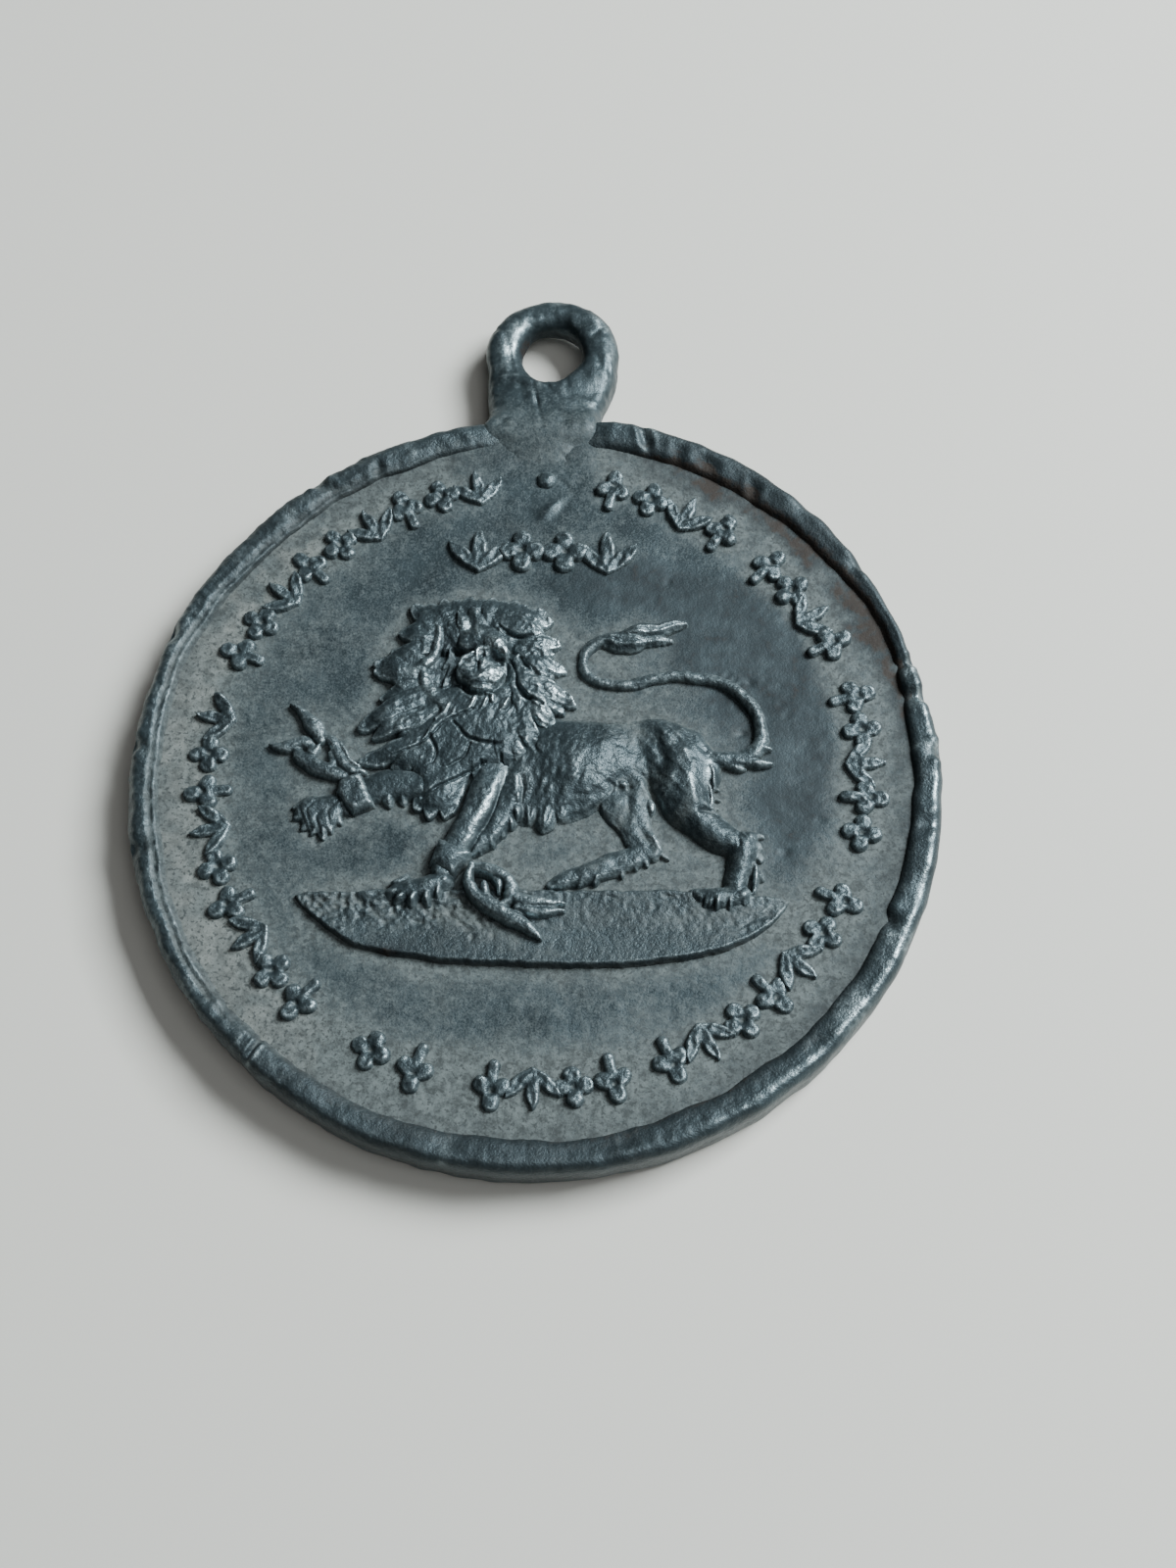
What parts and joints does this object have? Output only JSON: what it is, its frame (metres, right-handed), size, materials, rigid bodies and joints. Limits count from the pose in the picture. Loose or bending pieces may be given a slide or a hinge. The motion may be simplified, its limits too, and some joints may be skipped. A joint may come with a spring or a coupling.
{
  "type": "commemorative medal",
  "caption": "Round cast pewter medal with a raised rim, a walking lion in relief, a ring of small raised ornaments and a soldered suspension loop.",
  "frame": {"origin": "centre of the disc, on the plane that the rim of its back rests on", "axes": "+Z comes out of the face, +Y points from the disc's centre to the suspension loop, +X is to the right when the face is looked at with the loop up"},
  "size_m": [0.033, 0.0396, 0.0029],
  "materials": {
    "pewter": "dull worn pewter, dark blue-grey, glossier on the raised parts, pale dust in the hollows"
  },
  "bodies": {
    "root": {"medal": "pewter"}
  },
  "joints": []
}
